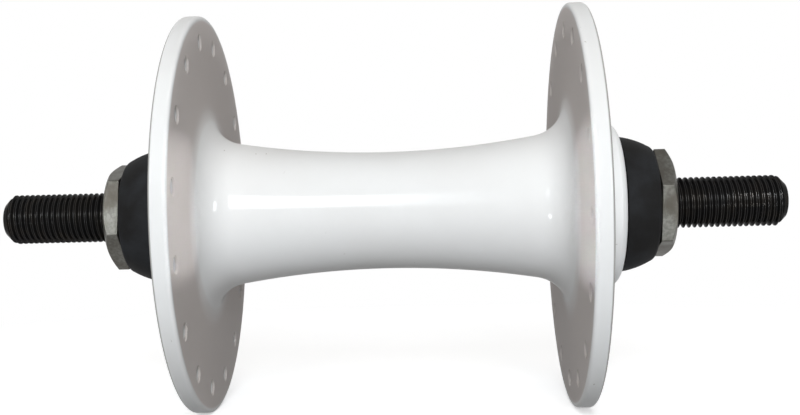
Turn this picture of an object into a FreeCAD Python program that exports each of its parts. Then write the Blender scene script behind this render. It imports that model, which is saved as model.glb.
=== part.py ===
import FreeCAD, Part
import math
import os
from dataclasses import dataclass

import Sketcher

# Bicycle front hub with cup and cone ball bearings, millimetres.
# The axle lies along Y with its middle at the origin, +Z is up and +X is forwards.
# The rider's left is +Y. A piece that both ends share is drawn once for the left end, and is
# turned end for end about Z for the right.
# Stations are measured along the axle from the middle outwards, radii from the axle's centre line.
# No thread is cut. Where the axle stands free it is drawn at its thread's crests, and where
# something is screwed onto it, both are drawn at the thread's pitch line.

DRIVING_SIZES = {
    "over_locknuts": (100.0, "width of the fork ends, between the locknuts' outer faces"),
    "axle_reach": (20.0, "axle beyond each locknut, for fork end and axle nut"),
    "axle_diameter": (9.0, "crests of the axle's M9 x 1 thread"),
    "axle_tip_chamfer": (1.4, "bevel on the axle's ends"),
    "shank_undercut": (0.3, "depth of the plain shank below the thread's crests"),
    "thread_run": (8.0, "thread inboard of each cone's nose"),
    "thread_pitch": (1.0, "of the axle's thread"),
    "thread_clearance": (0.02, "radial, between the axle and what is screwed onto it"),
    "thread_lead_in": (0.3, "countersink of a threaded bore, beyond the thread's crests"),
    "locknut_flats": (17.0, "across the locknut's flats"),
    "locknut_thickness": (2.8, "locknut along the axle"),
    "locknut_bevel_inset": (0.25, "how far inside its flats the locknut's bevel starts"),
    "locknut_bevel_angle": (30.0, "degrees from the locknut's outer face"),
    "left_locknut_turn": (10.8, "degrees about +Y from a corner straight up"),
    "right_locknut_turn": (-12.7, "degrees about +Y from a corner straight up"),
    "washer_thickness": (1.0, "washer between cone and locknut"),
    "washer_play": (0.1, "radial, between the washer and the thread's crests"),
    "cone_reach": (9.2, "ball centre to the cone's outer face"),
    "cone_nose": (1.5, "ball centre to the cone's inner end"),
    "cone_wall": (1.665, "cone's metal below the bottom of its race"),
    "cone_land_drop": (0.65, "how far inside the ball circle the cone's race ends"),
    "cone_collar_step": (0.35, "rise from the end of the race to the collar"),
    "cone_flats": (14.0, "across the cone's spanner flats"),
    "cone_flat_length": (2.4, "spanner flats along the axle"),
    "ball_diameter": (4.7625, "three sixteenths of an inch"),
    "ball_count": (9, "balls in each bearing"),
    "ball_clearance": (0.03, "between a ball and its races"),
    "race_relief": (0.12, "race radius less ball radius"),
    "contact_angle": (45.0, "degrees from a plane square to the axle"),
    "cup_wall": (1.26, "cup's metal outside its race"),
    "cup_floor": (1.2, "cup's metal inboard of its race"),
    "cup_lip": (1.03, "cup's floor inside the race"),
    "cup_bevel": (0.4, "lead-in bevel on the cup's inboard edge"),
    "cage_sheet": (0.5, "sheet that the ball cage is pressed from"),
    "cage_pocket_clearance": (0.12, "between a ball and its pocket"),
    "cage_running_gap": (0.3, "between the cage and what turns past it"),
    "cage_reach": (0.4, "how far the cage's fingers pass the ball centres"),
    "cap_gap": (0.22, "between the balls and the dust cap"),
    "cap_sheet": (0.7, "sheet that the dust cap is pressed from"),
    "cap_running_gap": (0.3, "radial, between the dust cap and the cone's collar"),
    "cap_recess": (0.4, "dust cap's face below the shell's mouth"),
    "cap_skirt_inset": (0.2, "dust cap's skirt below the shell's mouth"),
    "boss_length": (5.8, "boss outside each flange"),
    "boss_wall": (2.4, "boss outside the cup's seat"),
    "boss_fillet": (0.8, "inside corner between boss and flange"),
    "boss_nose_length": (1.2, "rounded end of the boss along the axle"),
    "boss_nose_radius": (2.6, "arc of the boss's rounded end"),
    "mouth_rim": (0.45, "rim left round the mouth of the shell"),
    "flange_thickness": (2.9, "flange along the axle"),
    "flange_rim_round": (0.6, "rounding of the flange's rim"),
    "spoke_circle": (62.4, "diameter through the spoke holes' centres"),
    "spoke_rim_margin": (4.5, "spoke hole's centre to the flange's rim"),
    "spoke_count": (16, "spoke holes in each flange"),
    "spoke_hole_diameter": (2.6, "drilled for 2 mm spokes"),
    "spoke_hole_bevel": (0.25, "bevel at both ends of a spoke hole"),
    "spoke_phase": (-3.55, "degrees about +Y, first hole of the right flange"),
    "tunnel_diameter": (15.0, "bore of the shell between the cups"),
    "waist_wall": (3.0, "shell's wall at the middle of the barrel"),
    "barrel_arc": (160.0, "radius of the barrel's hollow flank"),
    "root_fillet": (6.5, "radius that runs the barrel into the flange"),
    "boot_lip_inset": (0.4, "boot's lip inside the rim of the shell's mouth"),
    "boot_running_gap": (0.3, "between the boot's lip and the shell's mouth"),
    "boot_wall": (1.4, "rubber at the boot's lip"),
    "boot_heel": (2.3, "rubber outside the collar at the boot's heel"),
    "boot_crown": (14.0, "radius of the boot's swelling flank"),
    "boot_heel_round": (1.2, "radius at the boot's outer end"),
    "boot_heel_length": (0.8, "rounded outer end along the axle"),
    "boot_end_width": (1.2, "rubber of the boot's flat outer end"),
    "boot_grip": (2.8, "length of the boot that grips the collar"),
    "boot_step": (0.9, "step inside the boot, from its grip to its skirt"),
    "boot_end_gap": (0.2, "between the boot's outer end and the locknut"),
}

LEFT, RIGHT = "left", "right"
FULL_TURN = 360  # degrees
HALF_TURN = FULL_TURN // 2
NUT_SIDES = 6
SPANNER_FLATS = 2
OVERSHOOT = 1.0  # how far a cutting shape passes the face that it cuts


def size(name):
    """The sheet's cell for a driving size, as an expression."""
    return f"Sizes.{name}"


def half(expression):
    return f"({expression} / 2)"


def plus(*expressions):
    return "(" + " + ".join(expressions) + ")"


def less(first, *others):
    return "(" + " - ".join((first,) + others) + ")"


# Stations and radii of the bearing, from the locknut's outer face inwards.
locknut_face = half(size("over_locknuts"))
locknut_seat = less(locknut_face, size("locknut_thickness"))
cone_face = less(locknut_seat, size("washer_thickness"))
ball_station = less(cone_face, size("cone_reach"))
cone_nose_end = less(ball_station, size("cone_nose"))

axle_radius = half(size("axle_diameter"))
# The pitch line of a metric thread lies 3/8 of the sharp triangle's height below the crests.
pitch_radius = less(axle_radius, f"(3 / 8 * {size('thread_pitch')} * cos(30))")
threaded_bore = plus(pitch_radius, size("thread_clearance"))
lead_in_radius = plus(axle_radius, size("thread_lead_in"))
lead_in_depth = less(lead_in_radius, threaded_bore)
ball_radius = half(size("ball_diameter"))
race_radius = plus(ball_radius, size("race_relief"))
race_shift = less(size("race_relief"), size("ball_clearance"))
race_shift_out = f"({race_shift} * cos({size('contact_angle')}))"
race_shift_along = f"({race_shift} * sin({size('contact_angle')}))"
race_depth = less(race_radius, race_shift_out)  # from the ball circle to the bottom of a race
cone_nose_radius = plus(threaded_bore, size("cone_wall"))
ball_circle_radius = plus(cone_nose_radius, race_depth)

cone_race_centre = (plus(ball_circle_radius, race_shift_out), less(ball_station, race_shift_along))
cone_land_radius = less(ball_circle_radius, size("cone_land_drop"))
cone_land_station = plus(
    cone_race_centre[1],
    f"sqrt({race_radius}^2 - {less(cone_race_centre[0], cone_land_radius)}^2)",
)
collar_radius = plus(cone_land_radius, size("cone_collar_step"))

cup_race_centre = (less(ball_circle_radius, race_shift_out), plus(ball_station, race_shift_along))
cup_race_top = plus(ball_circle_radius, race_depth)
cup_radius = plus(cup_race_top, size("cup_wall"))
cup_race_floor = less(cup_race_centre[1], race_radius)
cup_shoulder = less(cup_race_floor, size("cup_floor"))
cup_bore = less(cup_race_centre[0], size("cup_lip"))

cap_inner_face = plus(ball_station, ball_radius, size("cap_gap"))
cap_outer_face = plus(cap_inner_face, size("cap_sheet"))
cap_bore = plus(collar_radius, size("cap_running_gap"))

# Stations and radii of the shell.
mouth_station = plus(cap_outer_face, size("cap_recess"))
mouth_radius = plus(cup_radius, size("mouth_rim"))
boss_radius = plus(cup_radius, size("boss_wall"))
flange_outer_face = less(mouth_station, size("boss_length"))
flange_inner_face = less(flange_outer_face, size("flange_thickness"))
spoke_circle_radius = half(size("spoke_circle"))
flange_radius = plus(spoke_circle_radius, size("spoke_rim_margin"))
tunnel_radius = half(size("tunnel_diameter"))
barrel_centre_radius = plus(tunnel_radius, size("waist_wall"), size("barrel_arc"))

# The root fillet touches the flange's face and, from inside, the barrel's long arc.
root_centre_station = less(flange_inner_face, size("root_fillet"))
arc_difference = less(size("barrel_arc"), size("root_fillet"))
root_centre_drop = f"sqrt({arc_difference}^2 - {root_centre_station}^2)"
root_centre_radius = less(barrel_centre_radius, root_centre_drop)
tangent_share = f"({size('barrel_arc')} / {arc_difference})"
barrel_end = (
    less(barrel_centre_radius, f"{root_centre_drop} * {tangent_share}"),
    f"({root_centre_station} * {tangent_share})",
)


@dataclass(frozen=True)
class Step:
    """The next corner of an outline, and how the outline reaches it.

    radial and axial are expressions, or the sketch's own X and Y. With arc_radius the outline
    comes along an arc, which turns left (anticlockwise) or right.
    """

    radial: str
    axial: str
    arc_radius: str = ""
    turns_left: bool = True


def number(expression):
    """What an expression on the sheet comes to now."""
    return float(sheet.evalExpression(expression))


def origin_feature(body, role):
    return next(item for item in body.Origin.OriginFeatures if item.Role == role)


def new_sketch(body, name, plane="XY_Plane"):
    sketch = body.newObject("Sketcher::SketchObject", name)
    sketch.AttachmentSupport = [(origin_feature(body, plane), "")]
    sketch.MapMode = "FlatFace"
    return sketch


def bind(sketch, constraint, name, expression):
    """Add a constraint to a sketch and let the sheet drive it."""
    index = sketch.addConstraint(constraint)
    sketch.renameConstraint(index, name)
    sketch.setExpression(f"Constraints.{name}", expression)


def arc_edge(start, end, radius, turns_left):
    """The shorter arc of a given radius from start to end; FreeCAD's arcs turn left."""
    if not turns_left:
        start, end = end, start
    chord = end - start
    rise = math.sqrt(radius**2 - (chord.Length / 2) ** 2)
    to_left = FreeCAD.Vector(-chord.y, chord.x, 0).normalize()
    centre = (start + end) / 2 + to_left * rise
    angles = [math.atan2(point.y - centre.y, point.x - centre.x) for point in (start, end)]
    circle = Part.Circle(centre, FreeCAD.Vector(0, 0, 1), radius)
    return Part.ArcOfCircle(circle, *angles)


def draw_outline(sketch, steps):
    """Draw a closed outline; every corner and radius is bound to the sheet."""
    corners = [FreeCAD.Vector(number(step.radial), number(step.axial), 0) for step in steps]
    edges = []
    for index, step in enumerate(steps):
        before, after = corners[index - 1], corners[index]
        if step.arc_radius:
            radius = number(step.arc_radius)
            edge = sketch.addGeometry(arc_edge(before, after, radius, step.turns_left), False)
            rounding = Sketcher.Constraint("Radius", edge, radius)
            bind(sketch, rounding, f"radius_{index}", step.arc_radius)
        else:
            edge = sketch.addGeometry(Part.LineSegment(before, after), False)
        backwards = bool(step.arc_radius) and not step.turns_left
        edges.append((edge, 2, 1) if backwards else (edge, 1, 2))
    for index, step in enumerate(steps):
        edge, _, end = edges[index]
        following, start, _ = edges[(index + 1) % len(edges)]
        sketch.addConstraint(Sketcher.Constraint("Coincident", edge, end, following, start))
        for axis, expression in (("X", step.radial), ("Y", step.axial)):
            distance = Sketcher.Constraint(f"Distance{axis}", -1, 1, edge, end, number(expression))
            bind(sketch, distance, f"corner_{axis}_{index}", expression)


def revolve(body, name, steps):
    """A solid of revolution about the axle from an outline of radii and stations."""
    sketch = new_sketch(body, f"{name}_outline")
    draw_outline(sketch, steps)
    feature = body.newObject("PartDesign::Revolution", name)
    feature.Profile = sketch
    feature.ReferenceAxis = (sketch, ["V_Axis"])
    feature.Angle = FULL_TURN
    body.Tip = feature
    return feature


def groove(body, name, steps):
    """Cut a solid of revolution about the axle out of a body."""
    sketch = new_sketch(body, f"{name}_outline")
    draw_outline(sketch, steps)
    return cut_round(body, name, sketch, "V_Axis")


def cut_round(body, name, sketch, axis):
    """Cut a sketch, turned about one of its own axes, out of a body."""
    feature = body.newObject("PartDesign::Groove", name)
    feature.Profile = sketch
    feature.ReferenceAxis = (sketch, [axis])
    feature.Angle = FULL_TURN
    body.Tip = feature
    return feature


def ring_pattern(body, name, feature, count):
    """Repeat a feature round the axle."""
    pattern = body.newObject("PartDesign::PolarPattern", name)
    pattern.Originals = [feature]
    pattern.Axis = (origin_feature(body, "Y_Axis"), [""])
    pattern.Angle = FULL_TURN
    pattern.Occurrences = int(number(count))
    pattern.setExpression("Occurrences", count)
    body.Tip = pattern
    return pattern


def new_body(label):
    body = document.addObject("PartDesign::Body", f"Body_{label}")
    body.Label = label
    pieces.append(body)
    return body


def end_body(end, piece):
    """A body drawn at the left end, and turned end for end where it belongs to the right."""
    body = new_body(f"{end}_{piece}")
    if end == RIGHT:
        end_for_end = FreeCAD.Rotation(FreeCAD.Vector(0, 0, 1), HALF_TURN)
        body.Placement = FreeCAD.Placement(FreeCAD.Vector(), end_for_end)
    return body


def mirrored(steps):
    """The same outline on the other side of the middle, walked the other way."""
    back = []
    for index in range(len(steps) - 1, -1, -1):
        reached_by = steps[index + 1] if index + 1 < len(steps) else None
        arc_radius = reached_by.arc_radius if reached_by else ""
        turns_left = reached_by.turns_left if reached_by else True
        back.append(Step(steps[index].radial, f"(-{steps[index].axial})", arc_radius, turns_left))
    return back


def make_hub_shell():
    """One-piece shell: barrel, two large flanges, and a boss round each bearing."""
    rim_round = size("flange_rim_round")
    fillet = size("boss_fillet")
    nose_start = less(mouth_station, size("boss_nose_length"))
    left_half = [
        Step(*barrel_end, size("barrel_arc"), False),
        Step(root_centre_radius, flange_inner_face, size("root_fillet"), False),
        Step(less(flange_radius, rim_round), flange_inner_face),
        Step(flange_radius, plus(flange_inner_face, rim_round), rim_round),
        Step(flange_radius, less(flange_outer_face, rim_round)),
        Step(less(flange_radius, rim_round), flange_outer_face, rim_round),
        Step(plus(boss_radius, fillet), flange_outer_face),
        Step(boss_radius, plus(flange_outer_face, fillet), fillet, False),
        Step(boss_radius, nose_start),
        Step(mouth_radius, mouth_station, size("boss_nose_radius")),
        Step(cup_radius, mouth_station),
        Step(cup_radius, cup_shoulder),
        Step(tunnel_radius, cup_shoulder),
    ]
    body = new_body("hub_shell")
    revolve(body, "shell_turning", left_half + mirrored(left_half))
    half_pitch = f"({HALF_TURN} / {size('spoke_count')})"
    drill_flange(body, LEFT, "", plus(size("spoke_phase"), half_pitch))
    drill_flange(body, RIGHT, "-", size("spoke_phase"))


def drill_flange(body, end, sign, phase):
    """Spoke holes with a bevel at both ends; the flanges' holes are half a pitch apart."""
    hole = half(size("spoke_hole_diameter"))
    bevel = size("spoke_hole_bevel")
    past = str(OVERSHOOT)
    inner, outer = flange_inner_face, flange_outer_face
    # In this sketch X is the station along the axle and Y the radius.
    profile = [
        (less(inner, past), "0"),
        (plus(outer, past), "0"),
        (plus(outer, past), plus(hole, bevel, past)),
        (less(outer, bevel), hole),
        (plus(inner, bevel), hole),
        (less(inner, past), plus(hole, bevel, past)),
    ]
    sketch = new_sketch(body, f"{end}_spoke_hole_outline", "YZ_Plane")
    turned = FreeCAD.Rotation(FreeCAD.Vector(1, 0, 0), number(phase))
    sketch.AttachmentOffset = FreeCAD.Placement(FreeCAD.Vector(), turned)
    sketch.setExpression("AttachmentOffset.Rotation.Angle", phase)
    steps = [
        Step(f"({sign}{station})", plus(spoke_circle_radius, radius)) for station, radius in profile
    ]
    draw_outline(sketch, steps)
    ends = [FreeCAD.Vector(number(steps[i].radial), number(steps[i].axial), 0) for i in (0, 1)]
    centre_line = sketch.addGeometry(Part.LineSegment(*ends), True)
    for end_point, edge_point in ((1, (0, 2)), (2, (1, 2))):
        sketch.addConstraint(
            Sketcher.Constraint("Coincident", centre_line, end_point, *edge_point)
        )
    hole_cut = cut_round(body, f"{end}_spoke_hole", sketch, "Axis0")
    ring_pattern(body, f"{end}_spoke_holes", hole_cut, size("spoke_count"))


def make_cup(end):
    """Pressed-in bearing cup with its ball race."""
    bevel = size("cup_bevel")
    outline = [
        Step(cup_bore, cup_shoulder),
        Step(less(cup_radius, bevel), cup_shoulder),
        Step(cup_radius, plus(cup_shoulder, bevel)),
        Step(cup_radius, cap_inner_face),
        Step(cup_race_top, cap_inner_face),
        Step(cup_race_top, cup_race_centre[1]),
        Step(cup_race_centre[0], cup_race_floor, race_radius, False),
        Step(cup_bore, cup_race_floor),
    ]
    revolve(end_body(end, "bearing_cup"), "cup_turning", outline)


def make_dust_cap(end):
    """Pressed steel cap that keeps dirt out of the bearing."""
    skirt_end = less(mouth_station, size("cap_skirt_inset"))
    skirt_inside = less(cup_radius, size("cap_sheet"))
    outline = [
        Step(cap_bore, cap_inner_face),
        Step(cup_radius, cap_inner_face),
        Step(cup_radius, skirt_end),
        Step(skirt_inside, skirt_end),
        Step(skirt_inside, cap_outer_face),
        Step(cap_bore, cap_outer_face),
    ]
    revolve(end_body(end, "dust_cap"), "cap_pressing", outline)


def make_cone(end):
    """Screwed cone: the inner race, and a collar with two spanner flats."""
    body = end_body(end, "cone")
    outline = [
        Step(threaded_bore, cone_nose_end),
        Step(cone_nose_radius, cone_nose_end),
        Step(cone_nose_radius, cone_race_centre[1]),
        Step(cone_land_radius, cone_land_station, race_radius, False),
        Step(collar_radius, plus(cone_land_station, size("cone_collar_step"))),
        Step(collar_radius, cone_face),
        Step(lead_in_radius, cone_face),
        Step(threaded_bore, less(cone_face, lead_in_depth)),
    ]
    revolve(body, "cone_turning", outline)
    flat = body.newObject("PartDesign::SubtractiveBox", "spanner_flat")
    reach = plus(collar_radius, str(OVERSHOOT))
    bindings = {
        "Length": f"(2 * {reach})",
        "Width": plus(size("cone_flat_length"), str(OVERSHOOT)),
        "Height": reach,
        "Placement.Base.x": f"(-{reach})",
        "Placement.Base.y": less(cone_face, size("cone_flat_length")),
        "Placement.Base.z": half(size("cone_flats")),
    }
    for path, expression in bindings.items():
        flat.setExpression(path, expression)
    body.Tip = flat
    ring_pattern(body, "spanner_flats", flat, str(SPANNER_FLATS))


def make_cage(end):
    """Ball cage: a pressed ring with a finger between each two balls, on both sides of them."""
    sheet_thickness = size("cage_sheet")
    outside = less(cup_race_top, size("cage_running_gap"))
    inside = plus(cone_land_radius, size("cage_running_gap"))
    back = less(cap_inner_face, size("cage_running_gap"))
    front = less(ball_station, size("cage_reach"))
    web = less(back, sheet_thickness)
    outline = [
        Step(inside, front),
        Step(plus(inside, sheet_thickness), front),
        Step(plus(inside, sheet_thickness), web),
        Step(less(outside, sheet_thickness), web),
        Step(less(outside, sheet_thickness), front),
        Step(outside, front),
        Step(outside, back),
        Step(inside, back),
    ]
    body = end_body(end, "ball_cage")
    revolve(body, "cage_ring", outline)
    pocket = body.newObject("PartDesign::SubtractiveSphere", "ball_pocket")
    pocket.setExpression("Radius", plus(ball_radius, size("cage_pocket_clearance")))
    pocket.setExpression("Placement.Base.y", ball_station)
    pocket.setExpression("Placement.Base.z", ball_circle_radius)
    body.Tip = pocket
    ring_pattern(body, "ball_pockets", pocket, size("ball_count"))


def make_balls(end):
    """Loose steel balls, one to each pocket of the cage."""
    sign = "" if end == LEFT else "-"
    count = int(number(size("ball_count")))
    for index in range(count):
        ball = document.addObject("Part::Sphere", f"Ball_{end}_{index + 1}")
        ball.Label = f"{end}_ball_{index + 1}"
        angle = f"({FULL_TURN} * {index} / {size('ball_count')})"
        ball.setExpression("Radius", ball_radius)
        ball.setExpression("Placement.Base.x", f"{ball_circle_radius} * sin({angle})")
        ball.setExpression("Placement.Base.y", f"({sign}{ball_station})")
        ball.setExpression("Placement.Base.z", f"{ball_circle_radius} * cos({angle})")
        pieces.append(ball)


def make_boot(end):
    """Moulded rubber boot on the cone's collar; its lip runs just clear of the shell's mouth."""
    lip_radius = less(mouth_radius, size("boot_lip_inset"))
    lip_station = plus(mouth_station, size("boot_running_gap"))
    end_station = less(locknut_seat, size("boot_end_gap"))
    heel_start = less(end_station, size("boot_heel_length"))
    grip_start = less(end_station, size("boot_grip"))
    step_radius = plus(collar_radius, size("boot_step"))
    outline = [
        Step(lip_radius, lip_station),
        Step(plus(collar_radius, size("boot_heel")), heel_start, size("boot_crown")),
        Step(plus(collar_radius, size("boot_end_width")), end_station, size("boot_heel_round")),
        Step(collar_radius, end_station),
        Step(collar_radius, grip_start),
        Step(step_radius, grip_start),
        Step(less(lip_radius, size("boot_wall")), lip_station),
    ]
    revolve(end_body(end, "rubber_boot"), "boot_moulding", outline)


def make_washer(end):
    """Plain washer between the cone and the locknut."""
    bore = plus(axle_radius, size("washer_play"))
    outline = [
        Step(bore, cone_face),
        Step(collar_radius, cone_face),
        Step(collar_radius, locknut_seat),
        Step(bore, locknut_seat),
    ]
    revolve(end_body(end, "washer"), "washer_blank", outline)


def make_locknut(end):
    """Thin hexagon nut, bevelled on its outer face, with a lead-in at both ends of its bore."""
    body = end_body(end, "locknut")
    hexagon = new_sketch(body, "hexagon", "XZ_Plane")
    turn = size(f"{end}_locknut_turn") if end == LEFT else f"(-{size('right_locknut_turn')})"
    # The plane's own normal is -Y, so the sheet's turn about +Y is taken the other way.
    offset = FreeCAD.Placement(
        FreeCAD.Vector(0, 0, -number(locknut_face)),
        FreeCAD.Rotation(FreeCAD.Vector(0, 0, 1), -number(turn)),
    )
    hexagon.AttachmentOffset = offset
    hexagon.setExpression("AttachmentOffset.Base.z", f"(-{locknut_face})")
    hexagon.setExpression("AttachmentOffset.Rotation.Angle", f"(-{turn})")
    corner_radius = f"({half(size('locknut_flats'))} / cos({HALF_TURN // NUT_SIDES}))"
    directions = [FULL_TURN // NUT_SIDES * k for k in range(NUT_SIDES)]
    corners = [
        Step(f"{corner_radius} * sin({direction})", f"{corner_radius} * cos({direction})")
        for direction in directions
    ]
    draw_outline(hexagon, corners)
    blank = body.newObject("PartDesign::Pad", "blank")
    blank.Profile = hexagon
    blank.setExpression("Length", size("locknut_thickness"))
    body.Tip = blank
    past = str(OVERSHOOT)
    above, below = plus(locknut_face, past), less(locknut_seat, past)
    bore = [
        Step("0", below),
        Step(plus(lead_in_radius, past), below),
        Step(threaded_bore, plus(locknut_seat, lead_in_depth)),
        Step(threaded_bore, less(locknut_face, lead_in_depth)),
        Step(plus(lead_in_radius, past), above),
        Step("0", above),
    ]
    groove(body, "bore", bore)
    bevel_start = less(half(size("locknut_flats")), size("locknut_bevel_inset"))
    beyond = plus(corner_radius, past)
    bevel_drop = f"({less(beyond, bevel_start)} * tan({size('locknut_bevel_angle')}))"
    bevel = [
        Step(bevel_start, locknut_face),
        Step(beyond, less(locknut_face, bevel_drop)),
        Step(beyond, above),
        Step(bevel_start, above),
    ]
    groove(body, "bevel", bevel)


def make_axle():
    """Solid axle: threaded at both ends, with a plain shank of smaller diameter between.

    It drops from its crests to its pitch line under each cone and under each locknut.
    """
    tip = plus(locknut_face, size("axle_reach"))
    chamfer = size("axle_tip_chamfer")
    shank = less(axle_radius, size("shank_undercut"))
    shank_end = less(cone_nose_end, size("thread_run"))
    thread_start = plus(shank_end, size("shank_undercut"))
    left_half = [
        Step(shank, shank_end),
        Step(axle_radius, thread_start),
        Step(axle_radius, cone_nose_end),
        Step(pitch_radius, cone_nose_end),
        Step(pitch_radius, cone_face),
        Step(axle_radius, cone_face),
        Step(axle_radius, locknut_seat),
        Step(pitch_radius, locknut_seat),
        Step(pitch_radius, locknut_face),
        Step(axle_radius, locknut_face),
        Step(axle_radius, less(tip, chamfer)),
        Step(less(axle_radius, chamfer), tip),
        Step("0", tip),
    ]
    revolve(new_body("axle"), "axle_turning", left_half + mirrored(left_half))


def make_sheet():
    """The sheet of driving sizes: name, value and meaning."""
    new_sheet = document.addObject("Spreadsheet::Sheet", "Sizes")
    for row, (name, (value, meaning)) in enumerate(DRIVING_SIZES.items(), start=1):
        new_sheet.set(f"A{row}", name)
        new_sheet.set(f"B{row}", str(value))
        new_sheet.setAlias(f"B{row}", name)
        new_sheet.set(f"C{row}", meaning)
    document.recompute()
    return new_sheet


def check_document():
    """Stop unless every object worked and every piece is one sound solid."""
    for item in document.Objects:
        if {"Invalid", "Error"} & set(item.State):
            raise RuntimeError(f"{item.Name} failed: {item.State}")
    for piece in pieces:
        if piece.Shape.isNull() or not piece.Shape.isValid() or len(piece.Shape.Solids) != 1:
            raise RuntimeError(f"{piece.Label} is not one sound solid")


def export_pieces():
    os.makedirs("parts", exist_ok=True)
    for piece in pieces:
        piece.Shape.exportStep(os.path.join("parts", f"{piece.Label}.step"))
        print(f"{piece.Label:20s} {piece.Shape.Volume:10.2f} mm3")


document = FreeCAD.newDocument("front_hub")
sheet = make_sheet()
pieces = []

make_hub_shell()
make_axle()
for side in (LEFT, RIGHT):
    make_cup(side)
    make_dust_cap(side)
    make_cage(side)
    make_balls(side)
    make_cone(side)
    make_boot(side)
    make_washer(side)
    make_locknut(side)

document.recompute()
check_document()
export_pieces()
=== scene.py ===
import enum
import logging
import math
from collections.abc import Callable
from dataclasses import dataclass, field

import bmesh
import bpy
from mathutils import Matrix, Vector


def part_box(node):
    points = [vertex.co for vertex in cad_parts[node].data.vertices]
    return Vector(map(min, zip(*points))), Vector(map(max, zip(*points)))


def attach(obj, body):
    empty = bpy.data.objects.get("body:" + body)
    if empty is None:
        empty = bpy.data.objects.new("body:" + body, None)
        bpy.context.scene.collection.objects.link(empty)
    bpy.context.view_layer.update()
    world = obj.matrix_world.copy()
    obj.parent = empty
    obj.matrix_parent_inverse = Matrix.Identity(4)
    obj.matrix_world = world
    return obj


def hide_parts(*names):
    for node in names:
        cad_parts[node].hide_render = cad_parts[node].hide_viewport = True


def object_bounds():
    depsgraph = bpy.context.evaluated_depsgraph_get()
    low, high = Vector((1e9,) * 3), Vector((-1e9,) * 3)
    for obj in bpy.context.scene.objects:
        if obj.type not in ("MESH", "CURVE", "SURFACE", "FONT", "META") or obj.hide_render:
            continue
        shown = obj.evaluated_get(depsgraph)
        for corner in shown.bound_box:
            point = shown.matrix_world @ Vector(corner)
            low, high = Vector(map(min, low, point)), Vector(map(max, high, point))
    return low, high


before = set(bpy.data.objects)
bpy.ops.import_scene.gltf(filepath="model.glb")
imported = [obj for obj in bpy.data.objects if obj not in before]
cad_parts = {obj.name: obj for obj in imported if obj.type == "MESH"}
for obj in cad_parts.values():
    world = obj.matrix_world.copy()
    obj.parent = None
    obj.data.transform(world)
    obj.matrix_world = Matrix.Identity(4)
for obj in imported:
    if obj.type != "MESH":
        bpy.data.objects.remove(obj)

# Bicycle front hub: the visible pieces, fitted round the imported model.
# The axle lies along Y, +Z is up. Sizes are in millimetres, and become metres as a mesh is made.
# Finishes and the studio are in metres. Angles about the axle are about +Y, from straight up.
# An outline is a list of radii and stations along the axle.

CAD_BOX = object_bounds()
LOG = logging.getLogger("front_hub")

MM = 0.001
WELD = 1e-6  # metres, between two points that are one
FULL_TURN = 2 * math.pi
PHOTO_WIDTH = 800  # pixels
MIX_FIRST, MIX_SECOND, MIX_RESULT = 6, 7, 2  # the Mix node's colour sockets
EASED_SHARES = (1 / 3, 2 / 3)  # where the extra points of an eased corner lie
ARC_CHORD, ARC_ANGLE = 1.0, math.radians(7.5)  # an arc's longest step, in millimetres and radians

Pair = tuple[float, float]
Triple = tuple[float, float, float]


class End(enum.Enum):
    """The two ends of the axle, with the sign of Y that each lies at."""

    LEFT = 1
    RIGHT = -1

    @property
    def word(self) -> str:
        """The end's name in the frame's nodes."""
        return self.name.lower()


def linked(name: str, data: bpy.types.ID) -> bpy.types.Object:
    """Put new data in the scene.

    Args:
        name: the object's name.
        data: its mesh, light or camera.

    Returns:
        The object.
    """
    made = bpy.data.objects.new(name, data)
    bpy.context.scene.collection.objects.link(made)
    return made


# Node trees


def _method(operation: str, reflected: bool = False) -> Callable[..., "Wire"]:
    """A method that puts a Math node on a wire and the other operands.

    Args:
        operation: the node's operation.
        reflected: whether the wire is the last operand.

    Returns:
        The method.
    """

    def method(self: "Wire", *others: "Wire | float") -> "Wire":
        """The node's result."""
        operands = (*others, self) if reflected else (self, *others)
        return self.board.add("ShaderNodeMath", {"operation": operation}, dict(enumerate(operands)))

    return method


@dataclass(frozen=True)
class Wire:
    """A socket's output, used in Python like a number."""

    board: "Board"
    socket: bpy.types.NodeSocket | None

    __add__, __radd__ = _method("ADD"), _method("ADD", reflected=True)
    __sub__, __rsub__ = _method("SUBTRACT"), _method("SUBTRACT", reflected=True)
    __mul__, __rmul__ = _method("MULTIPLY"), _method("MULTIPLY", reflected=True)
    __truediv__, __rtruediv__ = _method("DIVIDE"), _method("DIVIDE", reflected=True)
    __pow__, __rpow__ = _method("POWER"), _method("POWER", reflected=True)
    least, most = _method("MINIMUM"), _method("MAXIMUM")
    __abs__, fraction, sine, cosine = map(_method, ("ABSOLUTE", "FRACT", "SINE", "COSINE"))

    def within(self, low: "Wire | float", high: "Wire | float") -> "Wire":
        """Held between two limits."""
        return self.most(low).least(high)

    def ramp(self, start: float, end: float) -> "Wire":
        """A mask that goes smoothly from 0 at start to 1 at end; a fall, with end below start."""
        values = {"Value": self, "From Min": start, "From Max": end}
        return self.board.add("ShaderNodeMapRange", {"interpolation_type": "SMOOTHSTEP"}, values, "Result")


def opaque(value: Triple | Wire) -> tuple[float, ...] | Wire:
    """A colour with its alpha, or the wire as it is."""
    return value if isinstance(value, Wire) else (*value, 1.0)


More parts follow.
